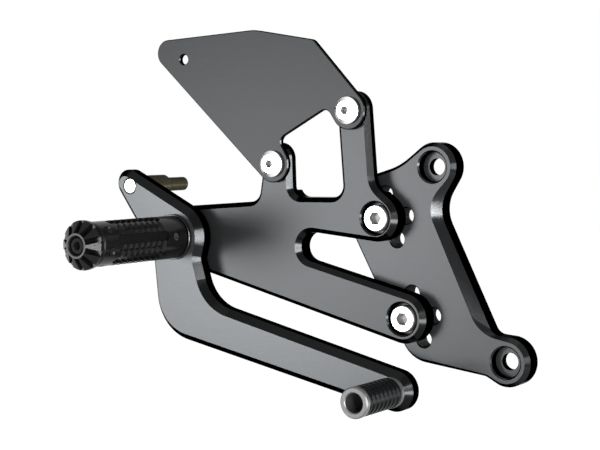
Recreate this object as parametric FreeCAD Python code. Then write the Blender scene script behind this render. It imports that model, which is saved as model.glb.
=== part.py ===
import FreeCAD, Part
import math
import os

# Right-hand motorcycle rear set: a frame plate, a footrest hanger bolted to it, a heel guard,
# a fixed footpeg and a brake lever that turns on the footpeg's pivot.
# X points forward, Y in towards the motorcycle and Z up. The origin is on the upper frame bolt's
# axis, in the back face of the frame plate. Sizes are in millimetres.

# Thicknesses of the layers, from the motorcycle outwards
FRAME_PLATE_T = 11.0
HANGER_T = 11.0
POST_T = 6.0
GUARD_T = 3.0
LEVER_T = 10.0
LEVER_GAP = 2.5
END_PLAY = 0.2
WASHER_T = 2.0

# Edge bevels. The frame plate has a slope round its face, widest along its hollow side.
FRAME_SLOPE_DEPTH = 2.5
FRAME_SLOPE_W = 2.0
HANGER_BEVEL = 2.5
LEVER_BEVEL = 3.5
LEVER_BACK_BEVEL = 1.0
BACK_BEVEL = 0.5
GUARD_BEVEL = 0.5
HOLE_BEVEL = 0.75

# Places of the axes that run along Y, as (X, Z)
FRAME_BOLT_UPPER = (0.0, 0.0)
FRAME_BOLT_LOWER = (40.0, -92.5)
HANGER_SCREW_UPPER = (-25.7, -25.3)
HANGER_SCREW_LOWER = (-10.3, -73.9)
GUARD_SCREW_REAR = (-84.4, 0.8)
GUARD_SCREW_FRONT = (-39.4, 27.6)
PIVOT = (-141.0, -38.1)
CLEVIS = (-170.8, -11.9)
TOE = (-8.6, -107.7)
GUARD_TIE_HOLE = (-141.2, 55.2)

# Round ends of the frame plate away from its bolts, as (X, Z)
FRAME_FOOT = (-2.2, -80.1)
FRAME_REAR = (-39.6, -19.3)

# Hub and end radii of the plates
FRAME_HUB_R = 12.0
FRAME_FOOT_R = 16.3
FRAME_REAR_R = 12.8
ARM_R_UPPER = 11.6
ARM_R_LOWER = 12.3
HANGER_HUB_R = 15.8
POST_R_REAR = 8.3
POST_R_FRONT = 9.1
POST_RISE_REAR = 2.5
POST_RISE_FRONT = 0.6
GUARD_END_R = 9.5
LEVER_HUB_R = 17.4
CLEVIS_EAR_R = 7.4
CLEVIS_EAR_SHIFT = (-3.6, 1.3)
TOE_END_R = 10.1

# Frame bolt holes, for M8 socket heads
FRAME_BORE_R = 4.25
FRAME_COUNTERBORE_R = 7.5
FRAME_COUNTERBORE_DEPTH = 5.5
FRAME_BACK_BEVEL = 1.0

# M8 hanger screws, and the other places that the hanger can be bolted to in the frame plate
M8_R = 4.0
M8_HEAD_R = 6.5
M8_HEAD_H = 5.0
M8_HEX_AF = 6.0
M8_HEX_DEPTH = 3.0
M8_CLEARANCE_R = 4.4
SCREW_EDGE = 0.5
HEAD_RECESS = 0.3
HANGER_COUNTERBORE_R = 8.0
PIVOT_COUNTERBORE_R = 7.2
ADJUSTMENT_OFFSETS = [(0.0, 0.0), (-0.4, 11.5), (11.5, 1.1), (6.4, -10.7)]
TAP_BEVEL = 0.5
THREAD_GAP = 0.05
THREAD_END_GAP = 0.2

# M6 button screws of the heel guard
M6_R = 3.0
M6_CLEARANCE_R = 3.3
M6_HEAD_R = 6.7
M6_HEAD_H = 3.3
M6_HEAD_RIM = 1.6
M6_CROWN_R = 4.6
M6_HEX_AF = 4.0
M6_HEX_DEPTH = 2.2

# M5 socket screws in the end of the footpeg and of the toe peg
M5_R = 2.5
M5_CLEARANCE_R = 2.75
M5_HEAD_R = 4.25
M5_HEAD_H = 5.0
M5_HEX_AF = 4.0
M5_HEX_DEPTH = 2.5
M5_COUNTERBORE_R = 4.7

# Heel guard
GUARD_TIE_HOLE_R = 2.6
POST_RELIEF_Z = -12.5

# Lever pivot
SLEEVE_R = 8.0
SLEEVE_BORE_R = 4.2
RUNNING_CLEARANCE = 0.05
BUSH_R = 9.5
BUSH_L = 4.2
BUSH_FLANGE_R = 11.0
OUTER_FLANGE_T = 1.2
FLANGE_CLEARANCE = 0.2
WASHER_R = 12.0
WASHER_BEVEL = 0.2
PIVOT_BOLT_GRIP = 20.0
PIVOT_TAP_DEPTH = 23.0

# Footpeg, with lengths measured along it from its root
PEG_R = 11.3
PEG_L = 65.5
PEG_ROOT_BEVEL = 0.8
GROOVE_COUNT = 6
GROOVE_PHASE = 12.0
GROOVE_W = 5.0
GROOVE_DEPTH = 1.5
GROOVE_FROM = 15.0
GROOVE_TO = 55.0
TOOTH_PITCH = 4.5
TOOTH_DEPTH = 1.5
TOOTH_FROM = 19.0
TOOTH_TO = 54.0
SPLIT_DEPTH = 1.3
DIMPLE_R = 3.0
DIMPLE_DEPTH = 1.4
DIMPLE_AT = 59.5
CAP_NECK_R = 10.4
CAP_NECK_L = 1.2
CAP_R = 12.3
CAP_L = 8.5
CAP_BEVEL = 0.6
CAP_TEETH = 10
CAP_NOTCH_W = 2.8
CAP_NOTCH_DEPTH = 5.2
CAP_LIP_R = 6.2
CAP_CONE_L = 4.6
CAP_SEAT_DEPTH = 6.0
CAP_TAP_DEPTH = 16.0
CAP_SCREW_GRIP = 14.0
GRUB_AT = 9.5
GRUB_R = 2.0
GRUB_END_GAP = 0.2
GRUB_HEX_AF = 2.0
GRUB_HEX_DEPTH = 2.0
GRUB_SINK = 0.4
GRUB_ANGLE = 6.0

# Toe peg
TOE_PEG_L = 35.0
TOE_RING_R = 7.5
TOE_RING_L = 2.6
TOE_COLLAR_L = 2.4
TOE_CORE_R = 5.8
TOE_SEAT_DEPTH = 20.0
TOE_RIB_COUNT = 8
TOE_RIB_R = 7.4
TOE_RIB_ROOT_R = 6.5
TOE_RIB_CREST = 1.3
TOE_RIB_ROOT = 0.6
TOE_RING_BEVEL = 0.6

# Clevis stud
STUD_R = 4.0
STUD_COLLAR_R = 5.4
STUD_COLLAR_L = 19.0
STUD_PIN_R = 3.75
STUD_PIN_L = 18.0
STUD_BEVEL = 0.5
STUD_TIP_L = 1.0
STUD_TIP_R = 1.25

# Faces of the layers along Y
FRAME_FRONT = -FRAME_PLATE_T
HANGER_FRONT = FRAME_FRONT - HANGER_T
POST_BACK = HANGER_FRONT + POST_T
GUARD_FRONT = HANGER_FRONT - GUARD_T
LEVER_BACK = HANGER_FRONT - LEVER_GAP
LEVER_FRONT = LEVER_BACK - LEVER_T
WASHER_BACK = LEVER_FRONT - END_PLAY
PEG_ROOT = WASHER_BACK - WASHER_T
PEG_END = PEG_ROOT - PEG_L
CAP_FRONT = PEG_END - CAP_L
HANGER_SEAT = HANGER_FRONT + HEAD_RECESS + M8_HEAD_H
PIVOT_SEAT = FRAME_FRONT - HEAD_RECESS - M8_HEAD_H
TOE_PEG_END = LEVER_FRONT - TOE_PEG_L

# The frame plate's hub radius at its face, inside the slope
FRAME_FACE_HUB_R = FRAME_HUB_R - FRAME_SLOPE_W

# Radii of the hollow corners beside round ends, and the straight left between corner and end
CORNER_GAP = 0.8
FRAME_CORNER_R = 5.7
FRAME_WAIST_R = 16.5
FRAME_SHOULDER_R = 33.9
FACE_CORNER_R = 18.0
FACE_WAIST_R = 14.6
HANGER_CORNER_R = 6.0
POST_CORNER_R = 11.3
SLOT_END_R = 7.6
GUARD_CORNER_R = 4.0
LEVER_CORNER_R = 4.0


def beside(hub, hub_r, corner_r, heading):
    """Stop for a hollow corner next to a round end, in a direction in degrees from its centre."""
    reach = hub_r + corner_r + CORNER_GAP
    angle = math.radians(heading)
    return (hub[0] + reach * math.cos(angle), hub[1] + reach * math.sin(angle), -corner_r)


# Outlines: each is a chain of tangent arcs and lines round stops (X, Z, radius), anticlockwise
# seen from outside. A negative radius is a hollow corner.
FRAME_PLATE_STOPS = [
    (*FRAME_FOOT, FRAME_FOOT_R),
    beside(FRAME_BOLT_LOWER, FRAME_HUB_R, FRAME_CORNER_R, -134.5),
    (*FRAME_BOLT_LOWER, FRAME_HUB_R),
    beside(FRAME_BOLT_LOWER, FRAME_HUB_R, FRAME_CORNER_R, 102.8),
    beside(FRAME_BOLT_UPPER, FRAME_HUB_R, FRAME_WAIST_R, -44.4),
    (*FRAME_BOLT_UPPER, FRAME_HUB_R),
    beside(FRAME_BOLT_UPPER, FRAME_HUB_R, FRAME_SHOULDER_R, 138.5),
    (*FRAME_REAR, FRAME_REAR_R),
]
# The frame plate's face, inside the slope
FRAME_FACE_STOPS = [
    (*FRAME_FOOT, FRAME_FOOT_R - FRAME_SLOPE_W),
    beside(FRAME_BOLT_LOWER, FRAME_FACE_HUB_R, FRAME_CORNER_R, -134.5),
    (*FRAME_BOLT_LOWER, FRAME_FACE_HUB_R),
    beside(FRAME_BOLT_LOWER, FRAME_FACE_HUB_R, FACE_CORNER_R, 93.8),
    beside(FRAME_BOLT_UPPER, FRAME_FACE_HUB_R, FACE_WAIST_R, -56.4),
    (*FRAME_BOLT_UPPER, FRAME_FACE_HUB_R),
    beside(FRAME_BOLT_UPPER, FRAME_FACE_HUB_R, FRAME_SHOULDER_R, 138.5),
    (*FRAME_REAR, FRAME_REAR_R - FRAME_SLOPE_W),
]
HANGER_STOPS = [
    (*PIVOT, HANGER_HUB_R),
    (*HANGER_SCREW_LOWER, ARM_R_LOWER),
    (-62.7, -41.2, -SLOT_END_R),
    (*HANGER_SCREW_UPPER, ARM_R_UPPER),
    beside(HANGER_SCREW_UPPER, ARM_R_UPPER, POST_CORNER_R, 66.6),
    (GUARD_SCREW_FRONT[0], GUARD_SCREW_FRONT[1] + POST_RISE_FRONT, POST_R_FRONT),
    (-51.3, -9.7, -HANGER_CORNER_R),
    (-69.6, -10.0, -HANGER_CORNER_R),
    (GUARD_SCREW_REAR[0], GUARD_SCREW_REAR[1] + POST_RISE_REAR, POST_R_REAR),
    (-101.5, -13.1, -HANGER_CORNER_R),
]
GUARD_STOPS = [
    (-152.1, 58.8, 7.0),
    (*GUARD_SCREW_REAR, GUARD_END_R),
    beside(GUARD_SCREW_REAR, GUARD_END_R, GUARD_CORNER_R, 50.6),
    beside(GUARD_SCREW_FRONT, GUARD_END_R, GUARD_CORNER_R, 195.0),
    (*GUARD_SCREW_FRONT, GUARD_END_R),
    (-62.3, 58.4, 5.0),
    (-97.4, 39.0, 30.0),
]
LEVER_STOPS = [
    (CLEVIS[0] + CLEVIS_EAR_SHIFT[0], CLEVIS[1] + CLEVIS_EAR_SHIFT[1], CLEVIS_EAR_R),
    (-181.7, -56.1, -25.2),
    (-129.7, -67.7, 25.2),
    (*TOE, TOE_END_R),
    (-101.8, -53.0, -22.1),
    beside(PIVOT, LEVER_HUB_R, LEVER_CORNER_R, -30.3),
    (*PIVOT, LEVER_HUB_R),
]


def vector(x, y, z):
    return FreeCAD.Vector(x, y, z)


def tangent_heading(first, second):
    """Heading of the line that leaves the first stop and reaches the second, in radians."""
    run_x = second[0] - first[0]
    run_z = second[1] - first[1]
    distance = math.hypot(run_x, run_z)
    return math.atan2(run_z, run_x) - math.asin((second[2] - first[2]) / distance)


def stop_point(stop, heading, y):
    """Point where the outline passes a stop with this heading, the stop's centre on its left."""
    x = stop[0] + stop[2] * math.sin(heading)
    z = stop[1] - stop[2] * math.cos(heading)
    return vector(x, y, z)


def outline(stops, y):
    """Closed wire of tangent arcs and lines round the stops, in the plane at y."""
    edges = []
    count = len(stops)
    for i, stop in enumerate(stops):
        before = stops[i - 1]
        after = stops[(i + 1) % count]
        heading_in = tangent_heading(before, stop)
        heading_out = tangent_heading(stop, after)
        turn = (heading_out - heading_in) % (2 * math.pi)
        if stop[2] < 0:
            turn -= 2 * math.pi
        start = stop_point(stop, heading_in, y)
        middle = stop_point(stop, heading_in + turn / 2, y)
        end = stop_point(stop, heading_out, y)
        edges.append(Part.Arc(start, middle, end).toShape())
        edges.append(Part.LineSegment(end, stop_point(after, heading_out, y)).toShape())
    return Part.Wire(edges)


def plate(stops, front, thickness):
    return Part.Face(outline(stops, front)).extrude(vector(0, thickness, 0))


def bevel_at(solid, y, size):
    """Break every edge that lies in the plane at y."""
    edges = [edge for edge in solid.Edges if all(abs(v.Point.y - y) < 1e-6 for v in edge.Vertexes)]
    return solid.makeChamfer(size, edges)


def turned(axis, start, sense, steps):
    """Solid turned about a line along Y; steps are (distance from start, radius) pairs.

    sense is 1 where the distances run inwards and -1 where they run outwards.
    """
    x, z = axis
    points = [vector(x + radius, start + sense * along, z) for along, radius in steps]
    first = vector(x, points[0].y, z)
    last = vector(x, points[-1].y, z)
    ring = [first] + points + [last, first]
    profile = [p for i, p in enumerate(ring) if i == 0 or p.distanceToPoint(ring[i - 1]) > 1e-9]
    return Part.Face(Part.makePolygon(profile)).revolve(vector(x, 0, z), vector(0, 1, 0), 360)


def drilled(axis, start, sense, depth, radius, bevel=0.0):
    """Cutter for a plain hole with an optional bevel at its mouth, a little proud of the face."""
    proud = 1.0
    return turned(axis, start, sense, [
        (-proud, radius + bevel),
        (0.0, radius + bevel),
        (bevel, radius),
        (depth, radius),
    ])


def through_hole(axis, front, back, radius, bevel=0.0):
    """Cutter for a hole right through, bevelled alike at both mouths."""
    half = (back - front) / 2
    outer = drilled(axis, front, 1, half, radius, bevel)
    inner = drilled(axis, back, -1, half, radius, bevel)
    return outer.fuse(inner)


def hexagon(axis, start, sense, depth, across_flats):
    """Cutter for a hex socket, a little proud of the face."""
    proud = 0.5
    corner_r = across_flats / math.sqrt(3)
    corners = []
    for i in range(7):
        angle = math.radians(60 * i)
        x = axis[0] + corner_r * math.cos(angle)
        z = axis[1] + corner_r * math.sin(angle)
        corners.append(vector(x, start - sense * proud, z))
    face = Part.Face(Part.makePolygon(corners))
    return face.extrude(vector(0, sense * (depth + proud), 0))


def socket_screw(axis, top, sense, head_r, head_h, radius, length, hex_af, hex_depth):
    """Cylinder-head screw; top is the head's face and the shank runs in the given sense."""
    body = turned(axis, top, sense, [
        (0.0, head_r - SCREW_EDGE),
        (SCREW_EDGE, head_r),
        (head_h, head_r),
        (head_h, radius),
        (head_h + length - SCREW_EDGE, radius),
        (head_h + length, radius - SCREW_EDGE),
    ])
    return body.cut(hexagon(axis, top, sense, hex_depth, hex_af))


def button_screw(axis, seat, length):
    """Low M6 screw whose head slopes to a thin rim; seat is the face that the head lies on."""
    crown = seat - M6_HEAD_H
    body = turned(axis, crown, 1, [
        (0.0, M6_CROWN_R),
        (M6_HEAD_H - M6_HEAD_RIM, M6_HEAD_R),
        (M6_HEAD_H, M6_HEAD_R),
        (M6_HEAD_H, M6_R),
        (M6_HEAD_H + length - SCREW_EDGE, M6_R),
        (M6_HEAD_H + length, M6_R - SCREW_EDGE),
    ])
    return body.cut(hexagon(axis, crown, 1, M6_HEX_DEPTH, M6_HEX_AF))


def adjustment_holes(screw):
    return [(screw[0] + dx, screw[1] + dz) for dx, dz in ADJUSTMENT_OFFSETS]


def make_frame_plate():
    """Adapter that bolts to the motorcycle and takes the hanger in one of several places."""
    shoulder = FRAME_FRONT + FRAME_SLOPE_DEPTH
    body = plate(FRAME_PLATE_STOPS, shoulder, FRAME_PLATE_T - FRAME_SLOPE_DEPTH)
    body = bevel_at(body, 0.0, BACK_BEVEL)
    slope = [outline(FRAME_FACE_STOPS, FRAME_FRONT), outline(FRAME_PLATE_STOPS, shoulder)]
    body = body.fuse(Part.makeLoft(slope, True, True)).removeSplitter()
    cutters = []
    for bolt in (FRAME_BOLT_UPPER, FRAME_BOLT_LOWER):
        depth = FRAME_COUNTERBORE_DEPTH
        cutters.append(drilled(bolt, FRAME_FRONT, 1, depth, FRAME_COUNTERBORE_R, HOLE_BEVEL))
        cutters.append(drilled(bolt, 0.0, -1, FRAME_PLATE_T, FRAME_BORE_R, FRAME_BACK_BEVEL))
    for screw in (HANGER_SCREW_UPPER, HANGER_SCREW_LOWER):
        for hole in adjustment_holes(screw):
            cutters.append(through_hole(hole, FRAME_FRONT, 0.0, M8_R + THREAD_GAP, TAP_BEVEL))
    return body.cut(cutters)


def make_hanger_plate():
    """Footrest hanger: pivot hub, two arms round an open slot, and two thin posts for the guard."""
    body = plate(HANGER_STOPS, HANGER_FRONT, HANGER_T)
    body = bevel_at(body, HANGER_FRONT, HANGER_BEVEL)
    body = bevel_at(body, FRAME_FRONT, BACK_BEVEL)
    box = body.BoundBox
    margin = 5.0
    relief = Part.makeBox(
        box.XLength + 2 * margin,
        FRAME_FRONT - POST_BACK + margin,
        box.ZMax - POST_RELIEF_Z + margin,
        vector(box.XMin - margin, POST_BACK, POST_RELIEF_Z),
    )
    cutters = [relief]
    head_depth = HEAD_RECESS + M8_HEAD_H
    for screw in (HANGER_SCREW_UPPER, HANGER_SCREW_LOWER):
        cutters.append(drilled(screw, HANGER_FRONT, 1, head_depth, HANGER_COUNTERBORE_R, HOLE_BEVEL))
        cutters.append(drilled(screw, FRAME_FRONT, -1, HANGER_T, M8_CLEARANCE_R))
    for screw in (GUARD_SCREW_REAR, GUARD_SCREW_FRONT):
        cutters.append(through_hole(screw, HANGER_FRONT, POST_BACK, M6_R + THREAD_GAP))
    cutters.append(drilled(PIVOT, FRAME_FRONT, -1, head_depth, PIVOT_COUNTERBORE_R, HOLE_BEVEL))
    cutters.append(through_hole(PIVOT, HANGER_FRONT, FRAME_FRONT, SLEEVE_BORE_R))
    return body.cut(cutters)


def make_heel_guard():
    body = plate(GUARD_STOPS, GUARD_FRONT, GUARD_T)
    body = bevel_at(body, GUARD_FRONT, GUARD_BEVEL)
    body = bevel_at(body, HANGER_FRONT, GUARD_BEVEL)
    cutters = [through_hole(screw, GUARD_FRONT, HANGER_FRONT, M6_CLEARANCE_R)
               for screw in (GUARD_SCREW_REAR, GUARD_SCREW_FRONT)]
    cutters.append(through_hole(GUARD_TIE_HOLE, GUARD_FRONT, HANGER_FRONT, GUARD_TIE_HOLE_R, GUARD_BEVEL))
    return body.cut(cutters)


def make_brake_lever():
    """Flat lever: clevis ear, pivot hub and the long arm that carries the toe peg."""
    body = plate(LEVER_STOPS, LEVER_FRONT, LEVER_T)
    body = bevel_at(body, LEVER_FRONT, LEVER_BEVEL)
    body = bevel_at(body, LEVER_BACK, LEVER_BACK_BEVEL)
    cutters = [
        through_hole(PIVOT, LEVER_FRONT, LEVER_BACK, BUSH_R),
        drilled(PIVOT, LEVER_FRONT, 1, OUTER_FLANGE_T, BUSH_FLANGE_R),
        through_hole(CLEVIS, LEVER_FRONT, LEVER_BACK, STUD_R, STUD_BEVEL),
        through_hole(TOE, LEVER_FRONT, LEVER_BACK, M5_R + THREAD_GAP, STUD_BEVEL),
    ]
    return body.cut(cutters)


def make_bush(start, sense, flange_t):
    """Flanged bush; start is the flange's outer face and the barrel runs in the given sense."""
    body = turned(PIVOT, start, sense, [
        (0.0, BUSH_FLANGE_R),
        (flange_t, BUSH_FLANGE_R),
        (flange_t, BUSH_R),
        (flange_t + BUSH_L, BUSH_R),
    ])
    end = start + sense * (flange_t + BUSH_L)
    return body.cut(through_hole(PIVOT, min(start, end), max(start, end), SLEEVE_R + RUNNING_CLEARANCE))


def make_ring(axis, front, back, radius, bore_r, bevel):
    """Turned sleeve or washer with bevelled rims."""
    length = back - front
    body = turned(axis, front, 1, [
        (0.0, radius - bevel),
        (bevel, radius),
        (length - bevel, radius),
        (length, radius - bevel),
    ])
    return body.cut(through_hole(axis, front, back, bore_r))


def along_peg(distance):
    return PEG_ROOT - distance


def radial_box(angle, width, r_from, r_to, near, far):
    """Bar along the peg: width across, from one radius to another, at an angle round the axis."""
    bar = Part.makeBox(r_to - r_from, far - near, width, vector(r_from, along_peg(far), -width / 2))
    return place_round_peg(bar, angle)


def place_round_peg(shape, angle):
    """Turn a shape about the peg's own axis, then move it there; 0 degrees points forward."""
    shape.rotate(vector(0, 0, 0), vector(0, 1, 0), -angle)
    shape.translate(vector(PIVOT[0], 0, PIVOT[1]))
    return shape


def lengthwise_groove(angle):
    """Round-ended groove between two rows of teeth."""
    floor_r = PEG_R - GROOVE_DEPTH
    half = GROOVE_W / 2
    proud = 2.0
    cutter = radial_box(angle, GROOVE_W, floor_r, PEG_R + proud, GROOVE_FROM + half, GROOVE_TO - half)
    for end in (GROOVE_FROM + half, GROOVE_TO - half):
        at = vector(floor_r, along_peg(end), 0)
        mill = Part.makeCylinder(half, GROOVE_DEPTH + proud, at, vector(1, 0, 0))
        cutter = cutter.fuse(place_round_peg(mill, angle))
    return cutter


def tooth_notch(angle, at):
    """V cut across one row of teeth."""
    proud = 1.0
    half_length = PEG_R * math.sin(math.pi / GROOVE_COUNT)
    points = [
        vector(PEG_R - TOOTH_DEPTH, along_peg(at), -half_length),
        vector(PEG_R + proud, along_peg(at) - TOOTH_DEPTH - proud, -half_length),
        vector(PEG_R + proud, along_peg(at) + TOOTH_DEPTH + proud, -half_length),
    ]
    face = Part.Face(Part.makePolygon(points + [points[0]]))
    return place_round_peg(face.extrude(vector(0, 0, 2 * half_length)), angle)


def row_split(angle):
    """V cut along a row, which makes its teeth pairs of pyramids."""
    proud = 1.0
    width = SPLIT_DEPTH + proud
    points = [
        vector(PEG_R - SPLIT_DEPTH, along_peg(TOOTH_FROM), 0),
        vector(PEG_R + proud, along_peg(TOOTH_FROM), width),
        vector(PEG_R + proud, along_peg(TOOTH_FROM), -width),
    ]
    face = Part.Face(Part.makePolygon(points + [points[0]]))
    return place_round_peg(face.extrude(vector(0, TOOTH_FROM - TOOTH_TO, 0)), angle)


def dimple(angle):
    """Round hollow at the outer end of a row."""
    centre_r = PEG_R - DIMPLE_DEPTH + DIMPLE_R
    return place_round_peg(Part.makeSphere(DIMPLE_R, vector(centre_r, along_peg(DIMPLE_AT), 0)), angle)


def make_footpeg():
    """Gripped barrel: rows of paired pyramid teeth between round-ended grooves."""
    body = turned(PIVOT, PEG_ROOT, -1, [
        (0.0, PEG_R - PEG_ROOT_BEVEL),
        (PEG_ROOT_BEVEL, PEG_R),
        (PEG_L - PEG_ROOT_BEVEL, PEG_R),
        (PEG_L, PEG_R - PEG_ROOT_BEVEL),
    ])
    proud = 1.0
    step = 360.0 / GROOVE_COUNT
    notch_count = int((TOOTH_TO - TOOTH_FROM) / TOOTH_PITCH) + 1
    cutters = []
    for i in range(GROOVE_COUNT):
        groove_angle = GROOVE_PHASE + i * step
        row_angle = groove_angle + step / 2
        cutters.append(lengthwise_groove(groove_angle))
        cutters.append(row_split(row_angle))
        cutters.append(dimple(row_angle))
        cutters += [tooth_notch(row_angle, TOOTH_FROM + j * TOOTH_PITCH) for j in range(notch_count)]
    cutters.append(drilled(PIVOT, PEG_ROOT, -1, PIVOT_TAP_DEPTH, M8_R + THREAD_GAP, TAP_BEVEL))
    cutters.append(drilled(PIVOT, PEG_END, 1, CAP_TAP_DEPTH, M5_R + THREAD_GAP, STUD_BEVEL))
    cutters.append(grub_cylinder(M8_R, PEG_R + proud, GRUB_R + THREAD_GAP))
    return body.cut(cutters)


def grub_cylinder(r_from, r_to, radius):
    """Cylinder that points straight out of the peg's root at the set screw's place."""
    pin = Part.makeCylinder(radius, r_to - r_from, vector(r_from, along_peg(GRUB_AT), 0), vector(1, 0, 0))
    return place_round_peg(pin, GRUB_ANGLE)


def make_footpeg_grub_screw():
    """Set screw that locks the pivot bolt's thread."""
    top = PEG_R - GRUB_SINK
    proud = 0.5
    body = grub_cylinder(M8_R + GRUB_END_GAP, top, GRUB_R)
    corner_r = GRUB_HEX_AF / math.sqrt(3)
    corners = []
    for i in range(7):
        angle = math.radians(60 * i)
        corners.append(vector(
            top - GRUB_HEX_DEPTH,
            along_peg(GRUB_AT) + corner_r * math.cos(angle),
            corner_r * math.sin(angle),
        ))
    socket = Part.Face(Part.makePolygon(corners)).extrude(vector(GRUB_HEX_DEPTH + proud, 0, 0))
    return body.cut(place_round_peg(socket, GRUB_ANGLE))


def make_footpeg_cap():
    """Crown on the peg's end: notches right through the rim stop a boot from sliding off."""
    body = turned(PIVOT, PEG_END, -1, [
        (0.0, CAP_NECK_R),
        (CAP_NECK_L, CAP_NECK_R),
        (CAP_NECK_L, CAP_R - CAP_BEVEL),
        (CAP_NECK_L + CAP_BEVEL, CAP_R),
        (CAP_L - CAP_CONE_L, CAP_R),
        (CAP_L, CAP_LIP_R),
    ])
    proud = 1.0
    cutters = [
        drilled(PIVOT, CAP_FRONT, 1, CAP_SEAT_DEPTH, M5_COUNTERBORE_R, STUD_BEVEL),
        through_hole(PIVOT, CAP_FRONT, PEG_END, M5_CLEARANCE_R),
    ]
    for i in range(CAP_TEETH):
        notch = radial_box(
            360.0 * (i + 0.5) / CAP_TEETH, CAP_NOTCH_W, CAP_LIP_R, CAP_R + proud,
            PEG_L + CAP_L - CAP_NOTCH_DEPTH, PEG_L + CAP_L + proud,
        )
        cutters.append(notch)
    return body.cut(cutters)


def make_toe_peg_core():
    """Turned core: collar against the lever, barrel under the rubber, ring at the outer end."""
    body = turned(TOE, LEVER_FRONT, -1, [
        (0.0, TOE_RING_R - TOE_RING_BEVEL),
        (TOE_RING_BEVEL, TOE_RING_R),
        (TOE_COLLAR_L, TOE_RING_R),
        (TOE_COLLAR_L, TOE_CORE_R),
        (TOE_PEG_L - TOE_RING_L, TOE_CORE_R),
        (TOE_PEG_L - TOE_RING_L, TOE_RING_R),
        (TOE_PEG_L - TOE_RING_BEVEL, TOE_RING_R),
        (TOE_PEG_L, TOE_RING_R - TOE_RING_BEVEL),
    ])
    return body.cut([
        drilled(TOE, TOE_PEG_END, 1, TOE_SEAT_DEPTH, M5_COUNTERBORE_R, STUD_BEVEL),
        through_hole(TOE, TOE_PEG_END, LEVER_FRONT, M5_CLEARANCE_R),
    ])


def make_toe_peg_rubber():
    """Sleeve with raised ribs between the core's collar and its end ring."""
    pitch = (TOE_PEG_L - TOE_RING_L - TOE_COLLAR_L) / TOE_RIB_COUNT
    flank = (pitch - TOE_RIB_CREST - TOE_RIB_ROOT) / 2
    steps = []
    for i in range(TOE_RIB_COUNT):
        near = TOE_COLLAR_L + i * pitch
        crest = near + TOE_RIB_ROOT / 2 + flank
        steps.append((near, TOE_RIB_ROOT_R))
        steps.append((near + TOE_RIB_ROOT / 2, TOE_RIB_ROOT_R))
        steps.append((crest, TOE_RIB_R))
        steps.append((crest + TOE_RIB_CREST, TOE_RIB_R))
        steps.append((near + pitch - TOE_RIB_ROOT / 2, TOE_RIB_ROOT_R))
    steps.append((TOE_PEG_L - TOE_RING_L, TOE_RIB_ROOT_R))
    sleeve = turned(TOE, LEVER_FRONT, -1, steps)
    return sleeve.cut(drilled(TOE, LEVER_FRONT, -1, TOE_PEG_L, TOE_CORE_R))


def make_clevis_stud():
    """Stud for the push rod's clevis: its shank is fixed in the lever's ear."""
    collar_at = LEVER_T
    pin_at = collar_at + STUD_COLLAR_L
    end = pin_at + STUD_PIN_L
    return turned(CLEVIS, LEVER_FRONT, 1, [
        (0.0, STUD_R - STUD_BEVEL / 2),
        (STUD_BEVEL / 2, STUD_R),
        (collar_at, STUD_R),
        (collar_at, STUD_COLLAR_R),
        (pin_at - STUD_BEVEL, STUD_COLLAR_R),
        (pin_at, STUD_COLLAR_R - STUD_BEVEL),
        (pin_at, STUD_PIN_R),
        (end - STUD_TIP_L, STUD_PIN_R),
        (end - STUD_TIP_L / 3, STUD_PIN_R - STUD_TIP_L / 2),
        (end, STUD_TIP_R),
    ])


def hanger_screw(axis):
    thread = FRAME_PLATE_T - TAP_BEVEL - THREAD_END_GAP
    length = FRAME_FRONT - HANGER_SEAT + thread
    top = HANGER_FRONT + HEAD_RECESS
    return socket_screw(axis, top, 1, M8_HEAD_R, M8_HEAD_H, M8_R, length, M8_HEX_AF, M8_HEX_DEPTH)


def make_footpeg_bolt():
    """Bolt from the back of the hanger through the pivot sleeve into the footpeg."""
    length = PIVOT_SEAT - PEG_ROOT + PIVOT_BOLT_GRIP
    top = FRAME_FRONT - HEAD_RECESS
    return socket_screw(PIVOT, top, -1, M8_HEAD_R, M8_HEAD_H, M8_R, length, M8_HEX_AF, M8_HEX_DEPTH)


def end_screw(axis, seat, length):
    """M5 screw down in the end of a peg; seat is the face that its head rests on."""
    top = seat - M5_HEAD_H
    return socket_screw(axis, top, 1, M5_HEAD_R, M5_HEAD_H, M5_R, length, M5_HEX_AF, M5_HEX_DEPTH)


guard_screw_length = GUARD_T + POST_T - THREAD_END_GAP
cap_seat = CAP_FRONT + CAP_SEAT_DEPTH
toe_seat = TOE_PEG_END + TOE_SEAT_DEPTH
inner_flange_t = LEVER_GAP - FLANGE_CLEARANCE

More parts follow.
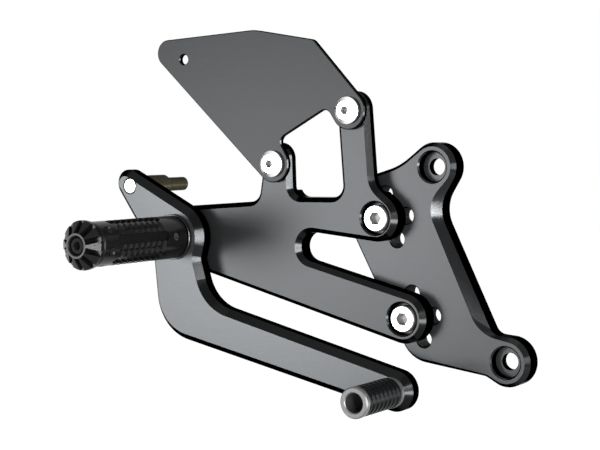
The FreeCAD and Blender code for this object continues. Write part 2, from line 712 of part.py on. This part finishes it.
nodes = {
    "frame_plate": make_frame_plate(),
    "hanger_plate": make_hanger_plate(),
    "hanger_screw_upper": hanger_screw(HANGER_SCREW_UPPER),
    "hanger_screw_lower": hanger_screw(HANGER_SCREW_LOWER),
    "heel_guard": make_heel_guard(),
    "heel_guard_screw_rear": button_screw(GUARD_SCREW_REAR, GUARD_FRONT, guard_screw_length),
    "heel_guard_screw_front": button_screw(GUARD_SCREW_FRONT, GUARD_FRONT, guard_screw_length),
    "brake_lever": make_brake_lever(),
    "lever_bush_outer": make_bush(LEVER_FRONT, 1, OUTER_FLANGE_T),
    "lever_bush_inner": make_bush(LEVER_BACK + inner_flange_t, -1, inner_flange_t),
    "pivot_sleeve": make_ring(PIVOT, WASHER_BACK, HANGER_FRONT, SLEEVE_R, SLEEVE_BORE_R, BACK_BEVEL),
    "pivot_washer": make_ring(PIVOT, PEG_ROOT, WASHER_BACK, WASHER_R, SLEEVE_BORE_R, WASHER_BEVEL),
    "footpeg_bolt": make_footpeg_bolt(),
    "footpeg": make_footpeg(),
    "footpeg_grub_screw": make_footpeg_grub_screw(),
    "footpeg_cap": make_footpeg_cap(),
    "footpeg_cap_screw": end_screw(PIVOT, cap_seat, PEG_END - cap_seat + CAP_SCREW_GRIP),
    "clevis_stud": make_clevis_stud(),
    "toe_peg_core": make_toe_peg_core(),
    "toe_peg_rubber": make_toe_peg_rubber(),
    "toe_peg_screw": end_screw(TOE, toe_seat, LEVER_BACK - toe_seat - THREAD_END_GAP),
}

os.makedirs("parts", exist_ok=True)
for name, shape in nodes.items():
    shape.exportStep("parts/" + name + ".step")
    print(name, len(shape.Solids), shape.isValid(), round(shape.Volume), shape.BoundBox)
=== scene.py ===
import math

import bmesh
import bpy
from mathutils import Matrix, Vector


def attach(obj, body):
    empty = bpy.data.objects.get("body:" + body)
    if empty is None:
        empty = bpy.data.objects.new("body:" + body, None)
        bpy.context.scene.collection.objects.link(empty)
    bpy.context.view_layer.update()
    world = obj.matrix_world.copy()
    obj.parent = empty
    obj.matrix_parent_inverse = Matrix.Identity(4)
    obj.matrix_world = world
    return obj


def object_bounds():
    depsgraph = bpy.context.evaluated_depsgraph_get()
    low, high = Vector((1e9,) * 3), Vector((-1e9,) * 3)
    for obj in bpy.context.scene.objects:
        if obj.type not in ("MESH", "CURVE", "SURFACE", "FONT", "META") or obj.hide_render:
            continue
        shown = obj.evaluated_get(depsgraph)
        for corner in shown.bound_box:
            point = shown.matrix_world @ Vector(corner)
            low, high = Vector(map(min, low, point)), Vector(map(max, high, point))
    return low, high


# Looks of a right-hand motorcycle rear set. Lengths are in metres, angles in degrees.
# X points forward, Y in towards the motorcycle and Z up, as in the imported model.
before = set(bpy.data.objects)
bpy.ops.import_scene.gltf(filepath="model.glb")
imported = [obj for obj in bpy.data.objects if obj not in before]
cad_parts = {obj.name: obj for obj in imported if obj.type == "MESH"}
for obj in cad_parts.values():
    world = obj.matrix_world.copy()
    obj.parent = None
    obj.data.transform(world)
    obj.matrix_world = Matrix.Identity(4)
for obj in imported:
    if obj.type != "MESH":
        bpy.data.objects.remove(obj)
CAD_LOW, CAD_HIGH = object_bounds()

# Camera: where it stands, the way it looks and its lens, fitted to the photo's outlines
CAMERA_PLACE = (0.34087, -0.64205, 0.01674)
CAMERA_AZIMUTH = 33.5
CAMERA_ELEVATION = 3.6
CAMERA_LENS = 88.2
CAMERA_CLIP = (0.01, 50.0)
SENSOR_WIDTH = 36.0

# Studio: a floor well below the part, so that it cuts off none of the low lights, which glows
# less under the part than it does further away than the distances in FLOOR_FADE
FLOOR_DROP = 0.35
FLOOR_SIZE = 12.0
FLOOR_ALBEDO = 0.3
FLOOR_GLOW = 0.9
FLOOR_FADE = (0.25, 1.4)
WORLD_FILL = 0.08

# Lights: name, azimuth, elevation, distance, width, height and radiance. Key, side, hub, edge
# and slope light stand where the camera sees a set of faces or cut edges mirror them.
LIGHTS = (
    ("key_light", -34.0, -2.2, 1.6, 0.68, 0.55, 16.4),    # faces of the plates
    ("side_light", 53.9, 0.0, 1.4, 0.19, 0.95, 64.0),     # lever's edge and rounds of the hubs
    ("hub_light", 61.5, -13.0, 1.4, 0.14, 0.38, 42.0),    # hanger's hubs and the toe end
    ("edge_light", 75.0, 3.0, 1.4, 0.2, 0.5, 10.0),       # frame plate's hubs
    ("slope_light", 25.4, -5.5, 1.4, 0.14, 0.6, 70.0),    # frame plate's sloped edge
    ("back_light", 180.0, 6.0, 1.6, 0.45, 0.45, 25.0),    # backs of the plates
    ("rear_light", 134.0, -13.0, 1.25, 0.34, 0.2, 22.0),  # backs as seen from behind and aside
    ("top_light", 0.0, 80.0, 1.5, 1.2, 0.8, 0.6),         # soft light from above
)

# Anodised plates: grey levels, cast and gloss of the flat faces and of the cut edges; the bevels
# and walls are painted darker than the faces, a painted shade on the same anodising
ANODISED_CAST = -0.035
PAINTED_SHADE_BEVEL_LEVEL = 0.0105
PAINTED_SHADE_WALL_LEVEL = 0.0028
CUT_ROUGHNESS = 0.15
FACE_ROUGHNESS = (0.3, 0.4)
FACE_METALLIC = 0.8
STREAKS = 0.25
ANODISED_IOR = 1.1
ANODISED_TINT = 0.04

# How far a normal leans to Y, from 0 to 1, where a wall turns into a bevel and a bevel into a face
WALL_TO_BEVEL = (0.3, 0.55)
BEVEL_TO_FACE = (0.9, 0.97)

# Span in which nearly all values of a noise lie
NOISE_SPAN = (0.3, 0.7)

# Places from the imported model that the materials need: behind its plane a screw's socket is
# painted dark and dull, a painted shade in the recess
HANGER_SOCKET_Y = -0.0217
GUARD_SOCKET_Y = -0.0266
SOCKET_BLUR = 0.0002
STUD_FACE_Y = -0.0345
STUD_FACE_BLUR = 0.0001
STUD_AXIS = (-0.1708, -0.0119)
STUD_FACE_R = 0.0037
TOE_AXIS = (-0.0086, -0.1077)
TOE_BORE_SHADE_R = 0.0048
RADIUS_BLUR = 0.00015

# Free tapped holes of the frame plate and the thread in them
TAP_CLUSTERS = ((-0.0257, -0.0253), (-0.0103, -0.0739))
TAP_OFFSETS = ((-0.0004, 0.0115), (0.0115, 0.0011), (0.0064, -0.0107))
TAP_R = 0.00405
TAP_PITCH = 0.00125
TAP_RIDGE = 0.0002
TAP_LINING = 0.00002
TAP_MARGIN = 0.0006
TAP_SIDES = 48
TAP_ROWS_PER_TURN = 8
FRAME_PLATE_FACES = (-0.011, 0.0)


def back_vector(azimuth, elevation):
    """Unit vector from the object towards a viewer; azimuth 0 is a viewer who looks along +Y."""
    a = math.radians(azimuth)
    e = math.radians(elevation)
    return Vector((math.sin(a) * math.cos(e), -math.cos(a) * math.cos(e), math.sin(e)))


def place(thing, spot, back):
    """Put a camera or a light at a spot, so that it looks against the back vector."""
    thing.location = spot
    thing.rotation_mode = "QUATERNION"
    thing.rotation_quaternion = (-back).to_track_quat("-Z", "Y")
    bpy.context.scene.collection.objects.link(thing)


def make_camera():
    data = bpy.data.cameras.new("camera")
    data.sensor_width = SENSOR_WIDTH
    data.lens = CAMERA_LENS
    data.clip_start, data.clip_end = CAMERA_CLIP
    camera = bpy.data.objects.new("camera", data)
    place(camera, CAMERA_PLACE, back_vector(CAMERA_AZIMUTH, CAMERA_ELEVATION))
    bpy.context.scene.camera = camera


def softbox(name, azimuth, elevation, distance, width, height, radiance):
    """Area light that faces the part; radiance is what a mirror would show of it."""
    data = bpy.data.lights.new(name, "AREA")
    data.shape = "RECTANGLE"
    data.size = width
    data.size_y = height
    data.energy = radiance * math.pi * width * height
    light = bpy.data.objects.new(name, data)
    light.visible_camera = False
    back = back_vector(azimuth, elevation)
    place(light, (CAD_LOW + CAD_HIGH) / 2 + back * distance, back)


def seen_or_mirrored(tree):
    """Value that is 1 for rays from the camera, off gloss and through glass, and 0 for the rest."""
    path = tree.nodes.new("ShaderNodeLightPath")
    value = path.outputs["Is Camera Ray"]
    for ray in ("Is Glossy Ray", "Is Transmission Ray"):
        either = tree.nodes.new("ShaderNodeMath")
        either.operation = "MAXIMUM"
        tree.links.new(value, either.inputs[0])
        tree.links.new(path.outputs[ray], either.inputs[1])
        value = either.outputs[0]
    return value


def set_inputs(node, **values):
    """Set a node's inputs by name, with _ for a space."""
    for key, value in values.items():
        node.inputs[key.replace("_", " ")].default_value = value


def make_world():
    """White for the camera and in mirrors, and a faint fill for all other light."""
    world = bpy.data.worlds.new("studio")
    bpy.context.scene.world = world
    world.use_nodes = True
    tree = world.node_tree
    tree.nodes.clear()
    out = tree.nodes.new("ShaderNodeOutputWorld")
    mix = tree.nodes.new("ShaderNodeMixShader")
    tree.links.new(seen_or_mirrored(tree), mix.inputs[0])
    for socket, strength in ((mix.inputs[1], WORLD_FILL), (mix.inputs[2], 1.0)):
        background = tree.nodes.new("ShaderNodeBackground")
        set_inputs(background, Strength=strength, Color=(1.0, 1.0, 1.0, 1.0))
        tree.links.new(background.outputs[0], socket)
    tree.links.new(mix.outputs[0], out.inputs["Surface"])


def floor_material():
    """Matt grey for light, with a white glow on top for the camera and in mirrors."""
    material = bpy.data.materials.new("floor_white")
    material.use_nodes = True
    tree = material.node_tree
    tree.nodes.clear()
    out = tree.nodes.new("ShaderNodeOutputMaterial")
    add = tree.nodes.new("ShaderNodeAddShader")
    matt = tree.nodes.new("ShaderNodeBsdfDiffuse")
    set_inputs(matt, Color=(FLOOR_ALBEDO, FLOOR_ALBEDO, FLOOR_ALBEDO, 1.0))
    glow = tree.nodes.new("ShaderNodeEmission")
    level = tree.nodes.new("ShaderNodeMath")
    level.operation = "MULTIPLY"
    spot = tree.nodes.new("ShaderNodeTexCoord")
    away = tree.nodes.new("ShaderNodeVectorMath")
    away.operation = "LENGTH"
    fade = tree.nodes.new("ShaderNodeMapRange")
    set_inputs(fade, From_Min=FLOOR_FADE[0], From_Max=FLOOR_FADE[1], To_Min=FLOOR_GLOW, To_Max=1.0)
    tree.links.new(spot.outputs["Object"], away.inputs[0])
    tree.links.new(away.outputs["Value"], fade.inputs["Value"])
    tree.links.new(seen_or_mirrored(tree), level.inputs[0])
    tree.links.new(fade.outputs["Result"], level.inputs[1])
    tree.links.new(level.outputs[0], glow.inputs["Strength"])
    tree.links.new(matt.outputs[0], add.inputs[0])
    tree.links.new(glow.outputs[0], add.inputs[1])
    tree.links.new(add.outputs[0], out.inputs["Surface"])
    return material


def make_floor():
    half = FLOOR_SIZE / 2
    z = CAD_LOW.z - FLOOR_DROP
    corners = [(-half, -half, z), (half, -half, z), (half, half, z), (-half, half, z)]
    mesh = bpy.data.meshes.new("floor")
    mesh.from_pydata(corners, [], [(0, 1, 2, 3)])
    mesh.materials.append(floor_material())
    floor = bpy.data.objects.new("floor", mesh)
    bpy.context.scene.collection.objects.link(floor)


class Nodes:
    """Short forms for building one material's node tree."""

    def __init__(self, name):
        self.material = bpy.data.materials.new(name)
        self.material.use_nodes = True
        self.tree = self.material.node_tree
        self.shader = self.tree.nodes["Principled BSDF"]

    def add(self, kind, **settings):
        node = self.tree.nodes.new(kind)
        for key, value in settings.items():
            setattr(node, key, value)
        return node

    def link(self, source, target):
        self.tree.links.new(source, target)

    def feed(self, socket, value):
        """Set an input to a number or a colour, or link an output to it."""
        if isinstance(value, (int, float)):
            socket.default_value = value
        elif isinstance(value, tuple):
            socket.default_value = (*value, 1.0)
        else:
            self.link(value, socket)

    def surface(self, **values):
        """Feed the shader's own inputs by name, with _ for a space."""
        for key, value in values.items():
            self.feed(self.shader.inputs[key.replace("_", " ")], value)

    def calculate(self, operation, *values):
        node = self.add("ShaderNodeMath", operation=operation)
        for socket, value in zip(node.inputs, values):
            self.feed(socket, value)
        return node.outputs[0]

    def coordinates(self, stretch=(1.0, 1.0, 1.0)):
        at = self.add("ShaderNodeTexCoord")
        mapping = self.add("ShaderNodeMapping")
        mapping.inputs["Scale"].default_value = stretch
        self.link(at.outputs["Object"], mapping.inputs["Vector"])
        return mapping.outputs["Vector"]

    def noise(self, scale, detail, roughness, stretch=(1.0, 1.0, 1.0)):
        node = self.add("ShaderNodeTexNoise")
        set_inputs(node, Scale=scale, Detail=detail, Roughness=roughness)
        self.link(self.coordinates(stretch), node.inputs["Vector"])
        return node.outputs["Fac"]

    def remap(self, value, low, high, to_low=0.0, to_high=1.0):
        node = self.add("ShaderNodeMapRange")
        set_inputs(node, From_Min=low, From_Max=high, To_Min=to_low, To_Max=to_high)
        self.link(value, node.inputs["Value"])
        return node.outputs["Result"]

    def spread(self, noise, to_low=0.0, to_high=1.0):
        """A noise stretched to fill a range."""
        return self.remap(noise, *NOISE_SPAN, to_low, to_high)

    def mix_number(self, factor, first, second):
        node = self.add("ShaderNodeMix", data_type="FLOAT")
        self.feed(node.inputs[2], first)
        self.feed(node.inputs[3], second)
        self.link(factor, node.inputs[0])
        return node.outputs[0]

    def mix(self, factor, first, second):
        node = self.add("ShaderNodeMix", data_type="RGBA")
        self.feed(node.inputs[6], first)
        self.feed(node.inputs[7], second)
        self.link(factor, node.inputs[0])
        return node.outputs[2]

    def mottled(self, factor, level, share, cast):
        """Grey with a cast that goes a share below and above its level."""
        low = tinted(level * (1 - share), cast)
        high = tinted(level * (1 + share), cast)
        return self.mix(factor, low, high)

    def bump(self, height, distance, strength):
        node = self.add("ShaderNodeBump")
        set_inputs(node, Distance=distance, Strength=strength)
        self.link(height, node.inputs["Height"])
        self.link(node.outputs["Normal"], self.shader.inputs["Normal"])

    def part_of(self, source, axis):
        """One part of a vector output, taken by its letter."""
        parts = self.add("ShaderNodeSeparateXYZ")
        self.link(source, parts.inputs[0])
        return parts.outputs[axis]

    def facing_y(self, low, high):
        """1 where the surface faces along Y, 0 where it leans away from Y."""
        normal = self.add("ShaderNodeTexCoord").outputs["Normal"]
        return self.remap(self.calculate("ABSOLUTE", self.part_of(normal, "Y")), low, high)

    def depth(self, y, blur):
        """0 at the plane Y = y and outwards, 1 a little further in."""
        return self.remap(self.part_of(self.coordinates(), "Y"), y, y + blur)

    def inside(self, axis, radius):
        """1 within a radius of a line along Y, 0 outside it."""
        at = self.coordinates()
        dx = self.calculate("SUBTRACT", self.part_of(at, "X"), axis[0])
        dz = self.calculate("SUBTRACT", self.part_of(at, "Z"), axis[1])
        square = self.calculate(
            "ADD", self.calculate("MULTIPLY", dx, dx), self.calculate("MULTIPLY", dz, dz))
        away = self.calculate("SQRT", square)
        return self.remap(away, radius - RADIUS_BLUR, radius, 1.0, 0.0)


def grey(level):
    return (level, level, level)


def tinted(level, warmth):
    """Grey with a slight warm (above 0) or cool (below 0) cast."""
    return (level * (1 + warmth), level, level * (1 - warmth))


def anodised(name, face, bevel=PAINTED_SHADE_BEVEL_LEVEL):
    """Black anodised aluminium: satin, brushed faces, and glossier bevels and walls, with painted
    shade on the bevels and walls, whose base colour is darker than the faces'.
    """
    n = Nodes(name)
    grain = n.noise(1900.0, 3.0, 0.65, (0.55, 1.0, 1.0))
    cloud = n.noise(28.0, 3.0, 0.55)
    streak = n.noise(700.0, 2.0, 0.5, (0.07, 1.0, 1.0))
    fine = n.calculate("ADD", n.spread(grain, -0.5, 0.5), n.spread(streak, -STREAKS, STREAKS))
    lift = n.calculate("ADD", fine, n.spread(cloud, -0.35, 0.35))
    flat = n.facing_y(*BEVEL_TO_FACE)
    face_colour = n.mottled(n.remap(lift, -1.0, 1.0), face, 0.18, ANODISED_CAST)
    # Painted shade: the bevels and walls of the same anodising get darker base colours than the
    # faces
    shaded_bevel_colour = n.mottled(n.spread(grain), bevel, 0.15, ANODISED_CAST)
    shaded_wall_colour = n.mottled(n.spread(grain), PAINTED_SHADE_WALL_LEVEL, 0.3, ANODISED_CAST)
    shaded_cut_colour = n.mix(n.facing_y(*WALL_TO_BEVEL), shaded_wall_colour, shaded_bevel_colour)
    face_roughness = n.remap(lift, -1.0, 1.0, *FACE_ROUGHNESS)
    n.surface(
        Base_Color=n.mix(flat, shaded_cut_colour, face_colour),
        Roughness=n.mix_number(flat, CUT_ROUGHNESS, face_roughness),
        Metallic=n.mix_number(flat, 1.0, FACE_METALLIC),
        IOR=ANODISED_IOR,
        Specular_Tint=grey(ANODISED_TINT),
    )
    n.bump(n.calculate("ADD", grain, n.calculate("MULTIPLY", streak, 0.4)), 0.00002, 0.4)
    return n.material


def plated(name, level=0.86, roughness=0.22, socket_y=None, socket=0.085):
    """Bright plated steel with a fine bloom; behind the plane socket_y, down in the socket, it is
    painted dark and dull as painted shade.
    """
    n = Nodes(name)
    spots = n.noise(1500.0, 3.0, 0.6)
    cloud = n.noise(260.0, 2.0, 0.5)
    colour = n.mix(n.remap(cloud, 0.35, 0.65), tinted(level * 0.84, -0.01), tinted(level, -0.01))
    metallic = 1.0
    if socket_y is not None:
        # Painted shade: inside the socket, behind the plane, the screw is painted dark and nearly
        # non-metallic
        shaded_socket_mask = n.depth(socket_y, SOCKET_BLUR)
        colour = n.mix(shaded_socket_mask, colour, tinted(socket, 0.04))
        metallic = n.mix_number(shaded_socket_mask, 1.0, 0.2)
    n.surface(
        Base_Color=colour,
        Roughness=n.spread(spots, roughness * 0.7, roughness * 1.5),
        Metallic=metallic,
    )
    n.bump(spots, 0.00001, 0.4)
    return n.material


def coated(name, level, cast, roughness, metallic=0.0, ior=1.4):
    """Plain coated or moulded surface with a fine grain and cloudy gloss."""
    n = Nodes(name)
    grain = n.noise(2200.0, 3.0, 0.6)
    cloud = n.noise(90.0, 3.0, 0.5)
    n.surface(
        Base_Color=n.mottled(n.spread(cloud), level, 0.25, cast),
        Roughness=n.spread(grain, roughness * 0.85, roughness * 1.15),
        Metallic=metallic,
        IOR=ior,
    )
    n.bump(grain, 0.00002, 0.5)
    return n.material


def olive_stud(name):
    """Clevis stud: dark olive, with the face of its front end painted near white."""
    n = Nodes(name)
    grain = n.noise(1800.0, 3.0, 0.6)
    turning = n.noise(2600.0, 1.0, 0.4, (0.1, 1.0, 0.1))
    olive = n.mix(n.spread(turning), (0.026, 0.023, 0.014), (0.046, 0.042, 0.026))
    behind = n.depth(STUD_FACE_Y, STUD_FACE_BLUR)
    end = n.calculate("SUBTRACT", n.inside(STUD_AXIS, STUD_FACE_R), behind)
    n.surface(
        Base_Color=n.mix(end, olive, grey(0.9)),
        Roughness=n.spread(grain, 0.28, 0.42),
        Metallic=0.85,
        Specular_Tint=grey(0.3),
    )
    n.bump(turning, 0.00002, 0.4)
    return n.material


def toe_core(name):
    """Turned core of the toe peg: satin grey end ring, painted nearly black down its bore as
    painted shade.
    """
    n = Nodes(name)
    grain = n.noise(2000.0, 3.0, 0.6)
    ring = n.mix(n.spread(grain), grey(0.048), grey(0.076))
    n.surface(
        # Painted shade: within the bore's radius the core is painted nearly black
        Base_Color=n.mix(n.inside(TOE_AXIS, TOE_BORE_SHADE_R), ring, grey(0.008)),
        Roughness=n.spread(grain, 0.3, 0.45),
        Metallic=0.35,
    )
    n.bump(grain, 0.00001, 0.4)
    return n.material


def dress(material, *names):
    for name in names:
        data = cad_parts[name].data
        data.materials.clear()
        data.materials.append(material)


def dress_all():
    # Painted light: the four plates share one black anodising, and their face levels differ by how
    # brightly the lights fall on each plate
    dress(anodised("frame_plate_black", face=0.036, bevel=0.02), "frame_plate")
    dress(anodised("hanger_black", face=0.034), "hanger_plate")
    dress(anodised("guard_black", face=0.0215), "heel_guard")
    dress(anodised("lever_black", face=0.056), "brake_lever")
    dress(coated("footpeg_black", level=0.003, cast=0.0, roughness=0.22, ior=1.2), "footpeg")
    dress(coated("cap_black", level=0.003, cast=0.0, roughness=0.2, ior=1.22), "footpeg_cap")
    dress(toe_core("toe_core_grey"), "toe_peg_core")
    dress(coated("toe_rubber_black", level=0.003, cast=-0.08, roughness=0.26, ior=1.11),
          "toe_peg_rubber")
    dress(olive_stud("stud_olive"), "clevis_stud")
    dress(coated("black_oxide", level=0.004, cast=0.0, roughness=0.4, ior=1.1),
          "footpeg_cap_screw", "toe_peg_screw")
    dress(coated("bronze", level=0.35, cast=0.3, roughness=0.35, metallic=1.0),
          "lever_bush_outer", "lever_bush_inner")
    dress(plated("bright_steel"), "pivot_sleeve", "footpeg_bolt")
    dress(plated("grub_steel", level=0.2, roughness=0.35), "footpeg_grub_screw")
    dress(plated("dull_steel", level=0.035, roughness=0.25), "pivot_washer")
    dress(plated("bright_zinc", level=0.9, roughness=0.3, socket_y=HANGER_SOCKET_Y),
          "hanger_screw_upper", "hanger_screw_lower")
    dress(
        plated("bright_zinc_guard", level=0.9, roughness=0.3, socket_y=GUARD_SOCKET_Y, socket=0.04),
        "heel_guard_screw_rear", "heel_guard_screw_front")


def ring_of_vertices(bm, axis, y, radii):
    """Vertices round a line along Y, at equal angles, one for each radius."""
    vertices = []
    for i, radius in enumerate(radii):
        angle = 2 * math.pi * i / len(radii)
        x = axis[0] + radius * math.cos(angle)
        z = axis[1] + radius * math.sin(angle)
        vertices.append(bm.verts.new((x, y, z)))
    return vertices


def thread_radius(turns):
    """Inner radius of the thread after a number of turns: it goes in and out once in each."""
    return TAP_R - TAP_RIDGE * (1.0 - abs(2.0 * (turns % 1.0) - 1.0))


def threaded_lining(bm, axis, start, end):
    """Thread cut in a tapped hole: a thin sleeve in the hole's wall with a helical ridge inside."""
    step = TAP_PITCH / TAP_ROWS_PER_TURN
    rows = int((end - start) / step)
    rings = []
    for row in range(rows + 1):
        turns = row / TAP_ROWS_PER_TURN
        radii = [thread_radius(turns - i / TAP_SIDES) for i in range(TAP_SIDES)]
        rings.append(ring_of_vertices(bm, axis, start + row * step, radii))
    for row in (rows, 0):
        radii = [TAP_R + TAP_LINING] * TAP_SIDES
        rings.append(ring_of_vertices(bm, axis, start + row * step, radii))
    for first, second in zip(rings, rings[1:] + rings[:1]):
        for i in range(TAP_SIDES):
            k = (i + 1) % TAP_SIDES
            bm.faces.new((first[i], first[k], second[k], second[i]))


def make_threads():
    bm = bmesh.new()
    start = FRAME_PLATE_FACES[0] + TAP_MARGIN
    end = FRAME_PLATE_FACES[1] - TAP_MARGIN
    for cluster in TAP_CLUSTERS:
        for offset in TAP_OFFSETS:
            axis = (cluster[0] + offset[0], cluster[1] + offset[1])
            threaded_lining(bm, axis, start, end)
    bmesh.ops.recalc_face_normals(bm, faces=bm.faces)
    mesh = bpy.data.meshes.new("frame_plate_threads")
    bm.to_mesh(mesh)
    bm.free()
    threads = bpy.data.objects.new("frame_plate_threads", mesh)
    bpy.context.scene.collection.objects.link(threads)
    mesh.materials.append(coated("thread_black", level=0.005, cast=0.0, roughness=0.5, ior=1.12))
    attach(threads, "footrest")


make_camera()
make_world()
make_floor()
for light in LIGHTS:
    softbox(*light)
dress_all()
make_threads()

bpy.context.scene.view_settings.view_transform = "Standard"
